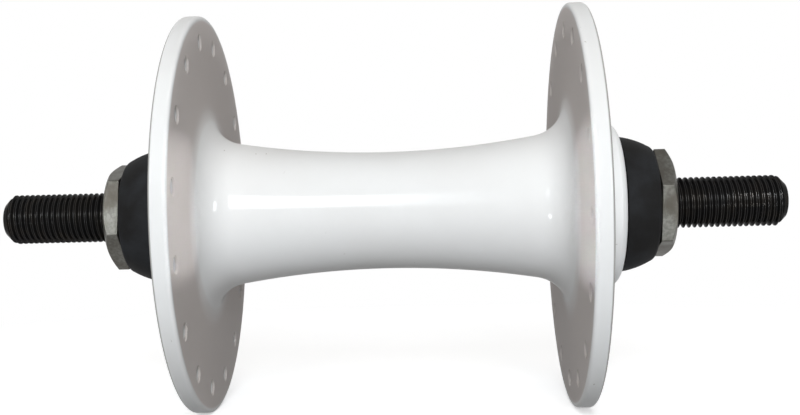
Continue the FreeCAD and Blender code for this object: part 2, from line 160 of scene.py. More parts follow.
class Board:
    """A node tree being wired up."""

    def __init__(self, tree: bpy.types.NodeTree) -> None:
        """Start on an empty tree."""
        self.tree = tree
        tree.nodes.clear()

    def add(self, kind: str, settings: dict[str, object] | None = None,
            inputs: dict[int | str, object] | None = None, output: int | str = 0) -> Wire:
        """Add a node.

        Args:
            kind: the node's type.
            settings: its settings, set first.
            inputs: a value or a wire for each of its sockets.
            output: which of its outputs to hand back.

        Returns:
            That output.
        """
        node = self.tree.nodes.new(kind)
        for name, value in (settings or {}).items():
            setattr(node, name, value)
        for key, value in (inputs or {}).items():
            if isinstance(value, Wire):
                self.tree.links.new(value.socket, node.inputs[key])
            else:
                node.inputs[key].default_value = value
        return Wire(self, node.outputs[output] if len(node.outputs) else None)

    def parts(self, vector: Wire) -> list[Wire]:
        """The X, Y and Z of a vector."""
        split = self.add("ShaderNodeSeparateXYZ", inputs={0: vector})
        return [Wire(self, output) for output in split.socket.node.outputs]

    def place(self) -> list[Wire]:
        """The X, Y and Z of a point of the object, in metres."""
        return self.parts(self.add("ShaderNodeTexCoord", output="Object"))

    def reach(self) -> tuple[Wire, Wire]:
        """A point's radius about the axle and its distance from the middle along it, in metres."""
        x, station, z = self.place()
        return (x * x + z * z) ** 0.5, abs(station)

    def blend(self, mask: Wire, low: Triple | Wire, high: Triple | Wire) -> Wire:
        """A colour that is low where the mask is 0 and high where it is 1."""
        inputs = {0: mask, MIX_FIRST: opaque(low), MIX_SECOND: opaque(high)}
        return self.add("ShaderNodeMix", {"data_type": "RGBA"}, inputs, MIX_RESULT)

    def choose(self, mask: Wire, low: Wire, high: Wire) -> Wire:
        """A shader that is low where the mask is 0 and high where it is 1."""
        return self.add("ShaderNodeMixShader", inputs={0: mask, 1: low, 2: high})

    def bump(self, height: Wire, depth: float) -> Wire:
        """A normal tilted by a height from 0 to 1, where 1 stands for so many metres."""
        return self.add("ShaderNodeBump", inputs={"Height": height, "Distance": depth})

    def seen(self) -> Wire:
        """1 for rays from the camera, a mirror or glass, and 0 for light that is scattered.

        Returns:
            The mask.
        """
        path = self.add("ShaderNodeLightPath").socket.node.outputs
        kinds = ("Camera", "Glossy", "Transmission")
        camera, glossy, passed = (Wire(self, path[f"Is {kind} Ray"]) for kind in kinds)
        return camera.most(glossy).most(passed)


@dataclass(frozen=True)
class Pattern:
    """Noise fixed to a piece, plain or as a mask."""

    scale: float  # cells to the metre
    detail: float = 2.0  # finer layers
    rise: Pair | None = None  # where the noise starts and ends to lift the mask from 0 to 1
    stretch: Triple = (1.0, 1.0, 1.0)  # how much tighter it lies along each axis

    def on(self, board: Board) -> Wire:
        """Put the pattern on a material's tree.

        Args:
            board: the tree.

        Returns:
            The noise or the mask, from 0 to 1.
        """
        place = board.add("ShaderNodeTexCoord", output="Object")
        mapped = board.add("ShaderNodeMapping", inputs={"Vector": place, "Scale": self.stretch})
        inputs = {"Vector": mapped, "Scale": self.scale, "Detail": self.detail}
        noise = board.add("ShaderNodeTexNoise", inputs=inputs, output="Fac")
        return noise.ramp(*self.rise) if self.rise else noise


# Finishes


class Finish:
    """A surface: what all finishes share."""

    name: str

    def material(self) -> bpy.types.Material:
        """The finish as a material, made once.

        Returns:
            The material.
        """
        made = bpy.data.materials.get(self.name)
        if made is None:
            made = bpy.data.materials.new(self.name)
            made.use_nodes = True
            board = Board(made.node_tree)
            shader = board.add("ShaderNodeBsdfPrincipled", inputs=self.sockets(board))
            board.add("ShaderNodeOutputMaterial", inputs={"Surface": shader})
        return made

    def sockets(self, board: Board) -> dict[str, object]:
        """A value or a wire for each socket of the shader that is set."""
        raise NotImplementedError


@dataclass(frozen=True)
class GlossPaint(Finish):
    """Stoved gloss paint with a faint orange peel and a few specks of dust under its skin.

    The flanges' inner faces take less coat and a darker, warmer colour, which is painted shade.
    A dark line of painted shade runs round the flanges' outer edges.
    """

    name: str = "gloss_white_paint"
    tone: Triple = (0.84, 0.84, 0.835)
    thin_tone: Triple = (0.80, 0.795, 0.785)
    # painted shade: the flanges' inner faces are given this darker, warmer tone
    painted_shade_tone: Triple = (0.67, 0.617, 0.588)
    speck_tone: Triple = (0.52, 0.50, 0.47)
    # painted shade: a dark line round the flanges' outer edges
    painted_edge_shade_tone: Triple = (0.36, 0.345, 0.33)
    cloud: Pattern = Pattern(45, 3, (0.35, 0.75))
    speck: Pattern = Pattern(1400, 0, (0.83, 0.87))
    speckled: Pattern = Pattern(60, 0, (0.55, 0.60))  # the patches that have specks
    peel: Pattern = Pattern(260, 1)
    peel_depth: float = 4e-6
    roughness: float = 0.42
    cloud_roughness: float = 0.1  # what a cloud adds
    coat: float = 0.28
    coat_roughness: float = 0.08
    coat_index: float = 1.5
    dull_loss: float = 0.6  # share of the coat that the flanges' inner faces lose
    inner_face: float = 0.032  # station of the flanges' inner faces
    face_skin: Pair = (0.0005, 0.0002)  # how far off it the inner faces' dull coat and painted shade fade in
    face_start: Pair = (0.015, 0.021)  # radii between which it fades in
    face_end: Pair = (0.0352, 0.0346)  # and out
    edge_radii: Pair = (0.0351, 0.0353)  # the flanges' outer edges, where a line of painted shade lies
    edge_stations: Pair = (0.03445, 0.0347)

    def masks(self, board: Board) -> tuple[Wire, Wire]:
        """Where the inner faces are dull and painted darker as shade, and where the outer edges carry a
        line of painted shade.

        Args:
            board: the material's tree.

        Returns:
            The two masks.
        """
        radius, station = board.reach()
        on_face = abs(station - self.inner_face).ramp(*self.face_skin)
        dull_and_shaded = on_face * radius.ramp(*self.face_start) * radius.ramp(*self.face_end)
        return dull_and_shaded, radius.ramp(*self.edge_radii) * station.ramp(*self.edge_stations)

    def sockets(self, board: Board) -> dict[str, object]:
        """What the shader's sockets hold.

        Args:
            board: the material's tree.

        Returns:
            A value or a wire for each socket that is set.
        """
        cloud, specks = self.cloud.on(board), self.speck.on(board) * self.speckled.on(board)
        dull_and_shaded, painted_edge_shade = self.masks(board)
        # painted shade: the inner faces take the darker tone
        tone = board.blend(dull_and_shaded, board.blend(cloud, self.tone, self.thin_tone), self.painted_shade_tone)
        # painted shade: a dark line along the flanges' outer edges
        tone = board.blend(painted_edge_shade, tone, self.painted_edge_shade_tone)
        return {
            "Base Color": board.blend(specks, tone, self.speck_tone),
            "Roughness": self.roughness + self.cloud_roughness * cloud,
            "Specular IOR Level": 0.0,
            "Coat Weight": self.coat - self.coat * self.dull_loss * dull_and_shaded,
            "Coat Roughness": self.coat_roughness,
            "Coat IOR": self.coat_index,
            "Normal": board.bump(self.peel.on(board), self.peel_depth),
        }


class PatchyFinish(Finish):
    """A surface with patches of a second tone and a fine grain: what the other finishes share."""

    tone: Triple
    patch_tone: Triple
    patch: Pattern
    roughness: float
    rougher: float  # what a full patch adds
    grain_depth: float
    grain: Pattern | None = None  # None where the patches are the grain
    grain_roughens: bool = False  # the grain adds the roughness in place of the patches
    metallic: float = 1.0
    specular: float = 0.5
    edge_tint: float = 1.0  # of the gloss at a glancing angle

    def ground(self, board: Board) -> Triple | Wire:
        """The colour between the patches."""
        return self.tone

    def sockets(self, board: Board) -> dict[str, object]:
        """What the shader's sockets hold.

        Args:
            board: the material's tree.

        Returns:
            A value or a wire for each socket that is set.
        """
        patch = self.patch.on(board)
        grain = self.grain.on(board) if self.grain else patch
        return {
            "Base Color": board.blend(patch, self.ground(board), self.patch_tone),
            "Metallic": self.metallic,
            "Roughness": self.roughness + self.rougher * (grain if self.grain_roughens else patch),
            "Specular IOR Level": self.specular,
            "Specular Tint": (self.edge_tint, self.edge_tint, self.edge_tint, 1.0),
            "Normal": board.bump(grain, self.grain_depth),
        }


class BlackOxide(PatchyFinish):
    """Blackened steel with a film of oil, browner where it is thin."""

    name = "black_oxide"
    tone = (0.0240, 0.0235, 0.0235)
    patch_tone = (0.032, 0.029, 0.026)
    patch = Pattern(380, 3, (0.42, 0.70))
    roughness = 0.14
    rougher = 0.14
    grain_depth = 8e-6
    grain = Pattern(4200)
    grain_roughens = True
    metallic = 0.75
    specular = 0.1
    edge_tint = 0.30


class ZincPlate(PatchyFinish):
    """Dull zinc plate with small spangles, mottled and slightly yellow."""

    name = "dull_zinc"
    tone = (0.138, 0.137, 0.124)
    spangle_tone: Triple = (0.098, 0.096, 0.086)
    spangle: Pattern = Pattern(1900, 2, (0.35, 0.65))
    patch_tone = (0.075, 0.068, 0.057)
    patch = Pattern(300, 3, (0.30, 0.80))
    roughness = 0.44
    rougher = 0.10
    grain_depth = 1.5e-5
    grain = Pattern(5200)
    metallic = 0.85
    specular = 0.2

    def ground(self, board: Board) -> Wire:
        """The plate's two greys."""
        return board.blend(self.spangle.on(board), self.tone, self.spangle_tone)


class MouldedRubber(PatchyFinish):
    """Matt black rubber with a fine moulded grain and a little pale bloom."""

    name = "moulded_rubber"
    tone = (0.0115, 0.0112, 0.0112)
    patch_tone = (0.0235, 0.0245, 0.0268)
    patch = Pattern(160, 4, (0.35, 0.75))
    roughness = 0.66
    rougher = 0.12
    grain_depth = 3e-5
    grain = Pattern(3600)
    metallic = 0.0
    specular = 0.06


class GroundSteel(PatchyFinish):
    """Hardened steel with fine grinding lines round the axle."""

    name = "ground_steel"
    tone = (0.55, 0.55, 0.56)
    patch_tone = (0.40, 0.40, 0.41)
    patch = Pattern(900, 2, stretch=(0.2, 6.0, 0.2))
    roughness = 0.16
    rougher = 0.14
    grain_depth = 4e-6


class PressedSheet(PatchyFinish):
    """Thin bright sheet steel with draw marks from its press tool."""

    name = "pressed_sheet"
    tone = (0.62, 0.61, 0.59)
    patch_tone = (0.42, 0.41, 0.39)
    patch = Pattern(700, 3, stretch=(1.0, 0.15, 1.0))
    roughness = 0.24
    rougher = 0.16
    grain_depth = 6e-6


# Outlines and meshes


@dataclass(frozen=True)
class Corner:
    """The next corner of an outline, and how the outline reaches it.

    With arc the outline comes along an arc of that radius, which turns left or right. With
    easing the corner between two straight runs is rounded over that length.
    """

    radius: float
    station: float
    arc: float = 0.0
    turns_left: bool = True
    easing: float = 0.0


def arc_points(start: Vector, end: Vector, corner: Corner) -> list[Vector]:
    """Points of the shorter arc between two points, both ends included.

    Args:
        start: where the arc starts.
        end: where it ends.
        corner: gives its radius and which way it turns.

    Returns:
        The points in order.
    """
    span = end - start
    half = span.length / 2
    rise = math.sqrt(max(corner.arc**2 - half**2, 0.0))
    sign = 1 if corner.turns_left else -1
    centre = (start + end) / 2 + Vector((-span.y, span.x)).normalized() * sign * rise
    sweep = 2 * math.asin(min(half / corner.arc, 1.0))
    steps = max(math.ceil(sweep / ARC_ANGLE), math.ceil(sweep * corner.arc / ARC_CHORD), 2)
    first = start - centre
    return [centre + Matrix.Rotation(sign * sweep * k / steps, 2) @ first for k in range(steps + 1)]


def straight_points(start: Vector, end: Vector, trims: Pair, margin: float) -> list[Vector]:
    """Points of a straight run, with one more close to each end to keep its shading flat.

    Args:
        start: the corner that it leaves.
        end: the corner that it reaches.
        trims: how much of it the rounding of each corner takes.
        margin: how close the extra points are.

    Returns:
        The points in order.
    """
    along = (end - start).normalized()
    near, far = start + along * trims[0], end - along * trims[1]
    if (far - near).length < 3 * margin:  # too short for two margins and a run
        return [near, far]
    return [near, near + along * margin, far - along * margin, far]


def trace(corners: list[Corner], closed: bool = True, margin: float = 0.12) -> list[Vector]:
    """Turn corners into the fine points of an outline.

    Args:
        corners: the outline's corners in order.
        closed: whether the last corner runs on to the first.
        margin: distance of the shading's support points from a straight run's ends.

    Returns:
        Radius and station of each point; a closed outline doesn't repeat its first.
    """
    places = [Vector((corner.radius, corner.station)) for corner in corners]
    points: list[Vector] = [] if closed else [places[0]]
    for index in range(0 if closed else 1, len(corners)):
        corner, before = corners[index], corners[index - 1]
        start, end = places[index - 1], places[index]
        if corner.arc:
            run = arc_points(start, end, corner)
        else:
            run = straight_points(start, end, (before.easing, corner.easing), margin)
        points.extend(run if before.easing else run[1:])
        if corner.easing:
            following = places[(index + 1) % len(places)]
            leave = end + (following - end).normalized() * corner.easing
            for share in EASED_SHARES:
                points.append(run[-1].lerp(end, share).lerp(end.lerp(leave, share), share))
    return points


def mirrored(corners: list[Corner]) -> list[Corner]:
    """The same outline on the other side of the middle, walked the other way."""
    steps = zip(reversed(corners), reversed([*corners[1:], Corner(0, 0)]))
    return [Corner(here.radius, -here.station, out.arc, out.turns_left, here.easing) for here, out in steps]


def round_place(radius: float, station: float, angle: float) -> Vector:
    """A point in metres from its radius, its station and its angle about the axle."""
    return Vector((radius * math.sin(angle), station, radius * math.cos(angle))) * MM


def join_rows(mesh: bmesh.types.BMesh, rows: list[list[bmesh.types.BMVert]], closed: bool = True,
              full_turn: bool = True) -> None:
    """Join rows of points with faces.

    Args:
        mesh: gets the faces.
        rows: the points, as many in each row.
        closed: whether the last row joins the first.
        full_turn: whether the last point of a row joins its first.
    """
    for low, high in zip(rows, [*rows[1:], rows[0]] if closed else rows[1:]):
        for column in range(len(low) if full_turn else len(low) - 1):
            after = (column + 1) % len(low)
            ring = [low[column], low[after], high[after], high[column]]
            mesh.faces.new(list(dict.fromkeys(ring)))


def lathe(mesh: bmesh.types.BMesh, points: list[Vector], angles: list[float],
          closed: bool, full_turn: bool = True) -> None:
    """Turn an outline about the axle.

    Args:
        mesh: gets the faces.
        points: radius and station of each point.
        angles: where the columns stand.
        closed: whether the outline's last point joins its first.
        full_turn: whether the last column joins the first.
    """
    rows = []
    for point in points:
        if point.x < WELD:
            rows.append([mesh.verts.new(round_place(0, point.y, 0))] * len(angles))
        else:
            rows.append([mesh.verts.new(round_place(point.x, point.y, angle)) for angle in angles])
    join_rows(mesh, rows, closed, full_turn)


def reach_of(node: str) -> Triple:
    """Measure a node of the frame.

    Args:
        node: its name.

    Returns:
        Its nearest and farthest station and its radius, in millimetres.
    """
    low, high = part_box(node)
    near, far = sorted(abs(place) / MM for place in (low.y, high.y))
    return round(near, 3), round(far, 3), round(high.z / MM, 2)


def even_angles(count: int) -> list[float]:
    """Angles of that many columns round a full turn."""
    return [FULL_TURN * k / count for k in range(count)]


def deliver(name: str, mesh: bmesh.types.BMesh, finish: Finish, body: str, node: str,
            sharp: float = 40.0) -> None:
    """Close a mesh, make it a piece at the origin and hand it to the frame.

    Args:
        name: the piece's name.
        mesh: its faces in metres; it is used up.
        finish: its surface.
        body: the body that it rides on.
        node: the frame's node that it stands for.
        sharp: degrees between faces, above which an edge is shaded sharp.
    """
    bmesh.ops.remove_doubles(mesh, verts=mesh.verts, dist=WELD)
    bmesh.ops.dissolve_degenerate(mesh, dist=WELD / 10, edges=mesh.edges)
    bmesh.ops.recalc_face_normals(mesh, faces=mesh.faces)
    open_edges = sum(len(edge.link_faces) != 2 for edge in mesh.edges)
    if open_edges:
        LOG.warning("%s has %d open edges", name, open_edges)
    data = bpy.data.meshes.new(name)
    mesh.to_mesh(data)
    mesh.free()
    data.shade_smooth()
    data.set_sharp_from_angle(angle=math.radians(sharp))
    data.materials.append(finish.material())
    piece = linked(name, data)
    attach(piece, body)
    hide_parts(node)
    LOG.info("%-20s %7d faces, rides on %s", name, len(data.polygons), body)


# Geometry Nodes


class Grower:
    """A geometry tree with named inputs, run once on a mesh to give a plain mesh."""

    def __init__(self, name: str, inputs: dict[str, str]) -> None:
        """Start the tree.

        Args:
            name: the tree's name.
            inputs: each named input and its socket type.
        """
        self.tree = bpy.data.node_groups.new(name, "GeometryNodeTree")
        self.board = Board(self.tree)
        interface = self.tree.interface
        sockets = {"Geometry": "NodeSocketGeometry", **inputs, "Finish": "NodeSocketMaterial"}
        self.identifiers = {
            label: interface.new_socket(label, in_out="INPUT", socket_type=kind).identifier
            for label, kind in sockets.items()
        }
        interface.new_socket("Geometry", in_out="OUTPUT", socket_type="NodeSocketGeometry")
        self.entry = self.tree.nodes.new("NodeGroupInput")

    def input(self, label: str) -> Wire:
        """The wire of a named input."""
        return Wire(self.board, self.entry.outputs[label])

    def close(self, geometry: Wire) -> None:
        """End the tree in real faces that carry the finish.

        Args:
            geometry: what the tree has made.
        """
        real = self.board.add("GeometryNodeRealizeInstances", inputs={"Geometry": geometry})
        welded = self.board.add("GeometryNodeMergeByDistance", inputs={"Geometry": real, "Distance": WELD})
        inputs = {"Geometry": welded, "Material": self.input("Finish")}
        dressed = self.board.add("GeometryNodeSetMaterial", inputs=inputs)
        self.board.add("NodeGroupOutput", inputs={0: dressed})

    def grow(self, start: bpy.types.Mesh, values: dict[str, object]) -> bpy.types.Mesh:
        """Run the tree.

        Args:
            start: the mesh that goes in.
            values: a value for each named input.

        Returns:
            The plain mesh that comes out.
        """
        carrier = linked(start.name, start)
        modifier = carrier.modifiers.new(self.tree.name, "NODES")
        modifier.node_group = self.tree
        for label, value in values.items():
            modifier[self.identifiers[label]] = value
        bpy.context.view_layer.update()
        graph = bpy.context.evaluated_depsgraph_get()
        grown = bpy.data.meshes.new_from_object(carrier.evaluated_get(graph))
        carrier.modifiers.clear()
        bpy.data.objects.remove(carrier)
        bpy.data.meshes.remove(start)
        return grown


def ring_grower() -> Grower:
    """A tree that repeats one gore round the axle and welds the gores together.

    Returns:
        The tree, with the inputs Count and Phase.
    """
    grower = Grower("gores_round_the_axle", {"Count": "NodeSocketInt", "Phase": "NodeSocketFloat"})
    board, count = grower.board, grower.input("Count")
    points = board.add("GeometryNodePoints", inputs={"Count": count}, output="Points")
    angle = board.add("GeometryNodeInputIndex") * FULL_TURN / count + grower.input("Phase")
    axis = {"Axis": Vector((0, 1, 0)), "Angle": angle}
    turn = board.add("FunctionNodeAxisAngleToRotation", inputs=axis)
    inputs = {"Points": points, "Instance": grower.input("Geometry"), "Rotation": turn}
    grower.close(board.add("GeometryNodeInstanceOnPoints", inputs=inputs))
    return grower


class ThreadGrower(Grower):
    """A tree that winds a right-hand thread along a stretch of the axle."""

    columns: int = 72
    rows_per_turn: int = 10
    flat_share: float = 0.1  # of the pitch, at the crest
    flank_slope: float = math.sqrt(3)
    names: tuple[str, ...] = (
        "Start", "End", "Start Radius", "End Radius", "Crest Radius", "Depth", "Pitch",
    )

    def __init__(self) -> None:
        """Build the tree."""
        inputs = dict.fromkeys(self.names, "NodeSocketFloat")
        super().__init__("thread_on_the_axle", {**inputs, "Turns": "NodeSocketInt"})
        start, end, start_radius, end_radius, crest, depth, pitch = map(self.input, self.names)
        turns, board = self.input("Turns"), self.board
        inputs = {"Size X": 1.0, "Size Y": 1.0}
        inputs |= {"Vertices X": self.columns + 1, "Vertices Y": turns * self.rows_per_turn + 1}
        grid = board.add("GeometryNodeMeshGrid", inputs=inputs)
        x, y, _ = board.parts(board.add("GeometryNodeInputPosition"))
        across, along = x + 0.5, (y + 0.5) * turns
        from_crest = abs((along - self.flat_share / 2 + 0.5).fraction() - 0.5)
        drop = ((from_crest - self.flat_share / 2) * self.flank_slope * pitch).within(0, depth)
        station = (start + (along - 1 + across) * pitch).within(start, end)
        past_start, to_end = station - start, end - station
        radius = crest - drop
        radius = radius.within(start_radius - past_start, start_radius + past_start)
        radius = radius.within(end_radius - to_end, end_radius + to_end)
        angle = across * FULL_TURN
        place = {"X": radius * angle.sine(), "Y": station, "Z": radius * angle.cosine()}
        moved = board.add("ShaderNodeCombineXYZ", inputs=place)
        inputs = {"Geometry": grid, "Position": moved}
        self.close(board.add("GeometryNodeSetPosition", inputs=inputs))

    def wind(self, start: Corner, end: Corner, crest: float, depth: float, pitch: float,
             finish: Finish) -> bpy.types.Mesh:
        """Wind one stretch of thread.

        Args:
            start: radius and station where it starts, at the lower Y.
            end: radius and station where it ends.
            crest: radius of its crests in millimetres.
            depth: of its grooves.
            pitch: from crest to crest.
            finish: its surface.

        Returns:
            An open tube.
        """
        values = (start.station, end.station, start.radius, end.radius, crest, depth, pitch)
        inputs = {name: value * MM for name, value in zip(self.names, values)}
        turns = math.ceil((end.station - start.station) / pitch) + 1
        inputs |= {"Turns": turns, "Finish": finish.material()}
        return self.grow(bpy.data.meshes.new("thread"), inputs)


# The hub's pieces


@dataclass
class HubShell:
    """The painted shell: a barrel drawn in at its middle, two flanges and a boss at each end."""

    tunnel: float = 7.5
    waist: float = 10.5
    barrel_arc: float = 160.0
    root_fillet: float = 6.5
    flange_thickness: float = 2.9
    rim_round: float = 0.6
    boss_length: float = 5.8
    boss_radius: float = 14.395
    boss_fillet: float = 0.8
    nose_length: float = 1.2
    nose_arc: float = 2.6
    mouth_radius: float = 12.445
    seat_radius: float = 11.995
    seat_end: float = 33.362
    spoke_circle: float = 31.2
    spoke_holes: int = 16
    hole_radius: float = 1.3
    hole_bevel: float = 0.25
    hole_rings: tuple[Pair, ...] = ((4, 0), (1.4, 0), (1, 0), (0, 1), (0, 2))  # bevels out and in
    first_hole: float = math.radians(-3.55)
    collar: Pair = (28.4, 34.0)  # radii of the ring that holds the holes
    arc_columns: int = 12  # of one gore
    side_rows: int = 6
    mouth_ease: float = 0.08
    tunnel_ease: float = 0.3
    finish: Finish = GlossPaint()
    mouth_station: float = field(init=False)
    flange_radius: float = field(init=False)
    flange_outer: float = field(init=False)
    flange_inner: float = field(init=False)

    def __post_init__(self) -> None:
        """Take the shell's reach from the frame."""
        _, self.mouth_station, self.flange_radius = reach_of("hub_shell")
        self.flange_outer = self.mouth_station - self.boss_length
        self.flange_inner = self.flange_outer - self.flange_thickness

    def barrel_tangent(self) -> tuple[Corner, Corner]:
        """Where the barrel's long arc meets the root fillet, and where that meets the flange.

        Returns:
            The two corners.
        """
        station = self.flange_inner - self.root_fillet
        reach = self.barrel_arc - self.root_fillet
        drop = math.sqrt(reach**2 - station**2)
        centre = self.waist + self.barrel_arc
        share = self.barrel_arc / reach
        tangent = Corner(centre - drop * share, station * share, self.barrel_arc, False)
        return tangent, Corner(centre - drop, self.flange_inner, self.root_fillet, False)

    def strips(self) -> list[list[Vector]]:
        """The outline in four open runs, without the rings that hold the spoke holes.

        Returns:
            The points of each run.
        """
        low, high = self.collar
        inner, outer, mouth = self.flange_inner, self.flange_outer, self.mouth_station
        rim, flange = self.rim_round, self.flange_radius
        boss, fillet = self.boss_radius, self.boss_fillet
        barrel = [*self.barrel_tangent(), Corner(low, inner)]
        edge = [
            Corner(high, inner), Corner(flange - rim, inner),
            Corner(flange, inner + rim, rim), Corner(flange, outer - rim),
            Corner(flange - rim, outer, rim), Corner(high, outer),
        ]
        outside = [
            Corner(low, outer), Corner(boss + fillet, outer),
            Corner(boss, outer + fillet, fillet, False), Corner(boss, mouth - self.nose_length),
            Corner(self.mouth_radius, mouth, self.nose_arc),
            Corner(self.seat_radius, mouth, easing=self.mouth_ease),
            Corner(self.seat_radius, self.seat_end),
            Corner(self.tunnel, self.seat_end, easing=self.tunnel_ease),
        ]
        runs = [mirrored(barrel) + barrel, edge, mirrored(edge), outside + mirrored(outside)]
        return [trace(run, closed=False) for run in runs]

    def hole_ring(self, radius: float, station: float, turn: float) -> list[Vector]:
        """A circle round a spoke hole's centre line.

        Args:
            radius: of the circle.
            station: of its plane.
            turn: where the hole stands about the axle.

        Returns:
            Its points, from the first corner of the gore.
        """
        count = 2 * (self.arc_columns + self.side_rows)
        points = []
        for k in range(count):
            angle = FULL_TURN * (k - self.arc_columns / 2) / count
            out, side = self.spoke_circle + radius * math.cos(angle), radius * math.sin(angle)
            points.append(round_place(math.hypot(out, side), station, turn + math.atan2(side, out)))
        return points

    def gore_edge(self, station: float, turn: float) -> list[Vector]:
        """The edge of the patch round a spoke hole, with as many points as a hole's circle.

        Args:
            station: of the flange's face.
            turn: where the hole stands about the axle.

        Returns:
            Its points in the same order.
        """
        low, high = self.collar
        half = math.pi / self.spoke_holes
        corners = (Vector((high, -half)), Vector((high, half)), Vector((low, half)), Vector((low, -half)))
        points = []
        for index, steps in enumerate((self.arc_columns, self.side_rows) * 2):
            side = corners[(index + 1) % len(corners)] - corners[index]
            points.extend(corners[index] + side * k / steps for k in range(steps))
        return [round_place(point.x, station, turn + point.y) for point in points]

    def drill(self, mesh: bmesh.types.BMesh, end: End, turn: float) -> None:
        """One spoke hole with the piece of flange round it, on both faces.

        Args:
            mesh: gets the faces.
            end: which flange.
            turn: where the hole stands about the axle.
        """
        sign, bevel = end.value, self.hole_bevel
        rings = []
        for station, inwards in ((self.flange_inner, 1), (self.flange_outer, -1)):
            ladder = [self.gore_edge(sign * station, turn)]
            for out, deep in self.hole_rings:
                place = sign * (station + inwards * deep * bevel)
                ladder.append(self.hole_ring(self.hole_radius + out * bevel, place, turn))
            rings.extend(ladder if inwards > 0 else reversed(ladder))
        join_rows(mesh, [[mesh.verts.new(point) for point in ring] for ring in rings], closed=False)

    def build(self) -> None:
        """Make the shell from one gore, repeated by Geometry Nodes."""
        half = math.pi / self.spoke_holes
        mesh = bmesh.new()
        angles = [-half + 2 * half * k / self.arc_columns for k in range(self.arc_columns + 1)]
        for run in self.strips():
            lathe(mesh, run, angles, closed=False, full_turn=False)
        self.drill(mesh, End.RIGHT, 0.0)
        self.drill(mesh, End.LEFT, half)
        bmesh.ops.remove_doubles(mesh, verts=mesh.verts, dist=WELD)
        gore = bpy.data.meshes.new("shell_gore")
        mesh.to_mesh(gore)
        mesh.free()
        values = {"Count": self.spoke_holes, "Phase": self.first_hole, "Finish": self.finish.material()}
        whole = bmesh.new()
        whole.from_mesh(ring_grower().grow(gore, values))
        deliver("painted_shell", whole, self.finish, "shell_assembly", "hub_shell")


@dataclass
class ThreadedAxle:
    """The solid axle: threaded at both ends, plain between, with bevelled tips."""

    crest: float = 4.5
    pitch: float = 1.0
    groove: float = 0.6134
    pitch_line: float = 4.17524
    shank: float = 4.2
    shank_end: float = 27.5
    cone_start: float = 35.5
    cone_end: float = 46.2
    nut_start: float = 47.2
    bare_start: float = 49.4  # inside the locknut's lead-in
    tip_bevel: float = 1.4
    sharp: float = 65.0  # degrees
    finish: Finish = BlackOxide()

    def stretches(self, tip: Corner) -> list[list[Corner]]:
        """The threaded stretches.

        Args:
            tip: the edge of the left tip's flat end.

        Returns:
            Where each starts and ends, from lower to higher Y.
        """
        outer = [Corner(self.pitch_line, self.bare_start), tip]
        inner = [Corner(self.shank, self.shank_end), Corner(self.pitch_line, self.cone_start)]
        return [stretch for half in (outer, inner) for stretch in (half, mirrored(half))]

    def build(self) -> None:
        """Join the threads, the plain stretches and the tips."""
        grower = ThreadGrower()
        mesh = bmesh.new()
        tip = Corner(self.crest - self.tip_bevel, reach_of("axle")[1])
        for start, end in self.stretches(tip):
            thread = grower.wind(start, end, self.crest, self.groove, self.pitch, self.finish)
            mesh.from_mesh(thread)
            bpy.data.meshes.remove(thread)
        angles = even_angles(grower.columns)
        line, crest = self.pitch_line, self.crest
        half = [
            Corner(line, self.cone_start), Corner(line, self.cone_end),
            Corner(crest, self.cone_end), Corner(crest, self.nut_start),
            Corner(line, self.nut_start), Corner(line, self.bare_start),
        ]
        shank = [Corner(self.shank, -self.shank_end), Corner(self.shank, self.shank_end)]
        flat = [tip, Corner(0, tip.station)]
        for run in (half, mirrored(half), shank, flat, mirrored(flat)):
            lathe(mesh, trace(run, closed=False), angles, closed=False)
        deliver("threaded_axle", mesh, self.finish, "axle_assembly", "axle", self.sharp)


@dataclass
class RubberBoot:
    """The tapering rubber seal between the shell's mouth and the locknut."""

    end: End
    lip_radius: float = 12.045
    wall: float = 1.4
    crown_arc: float = 14.0
    heel: float = 2.3
    heel_length: float = 0.8
    heel_arc: float = 1.2
    end_width: float = 1.2
    bore: float = 7.998
    grip: float = 2.8
    step: float = 0.9
    heel_ease: float = 0.15
    bore_ease: float = 0.1
    inner_ease: float = 0.3
    columns: int = 160
    finish: Finish = MouldedRubber()

    def build(self) -> None:
        """Turn the boot."""
        node = f"{self.end.word}_rubber_boot"
        lip, end, _ = reach_of(node)
        outline = [
            Corner(self.lip_radius, lip),
            Corner(self.bore + self.heel, end - self.heel_length, self.crown_arc),
            Corner(self.bore + self.end_width, end, self.heel_arc),
            Corner(self.bore, end, easing=self.heel_ease),
            Corner(self.bore, end - self.grip, easing=self.bore_ease),
            Corner(self.bore + self.step, end - self.grip, easing=self.inner_ease),
            Corner(self.lip_radius - self.wall, lip, easing=self.inner_ease),
        ]
        mesh = bmesh.new()
        points = trace(outline if self.end is End.LEFT else mirrored(outline))
        lathe(mesh, points, even_angles(self.columns), closed=True)
        deliver(f"{self.end.word}_boot_seal", mesh, self.finish, "axle_assembly", node)


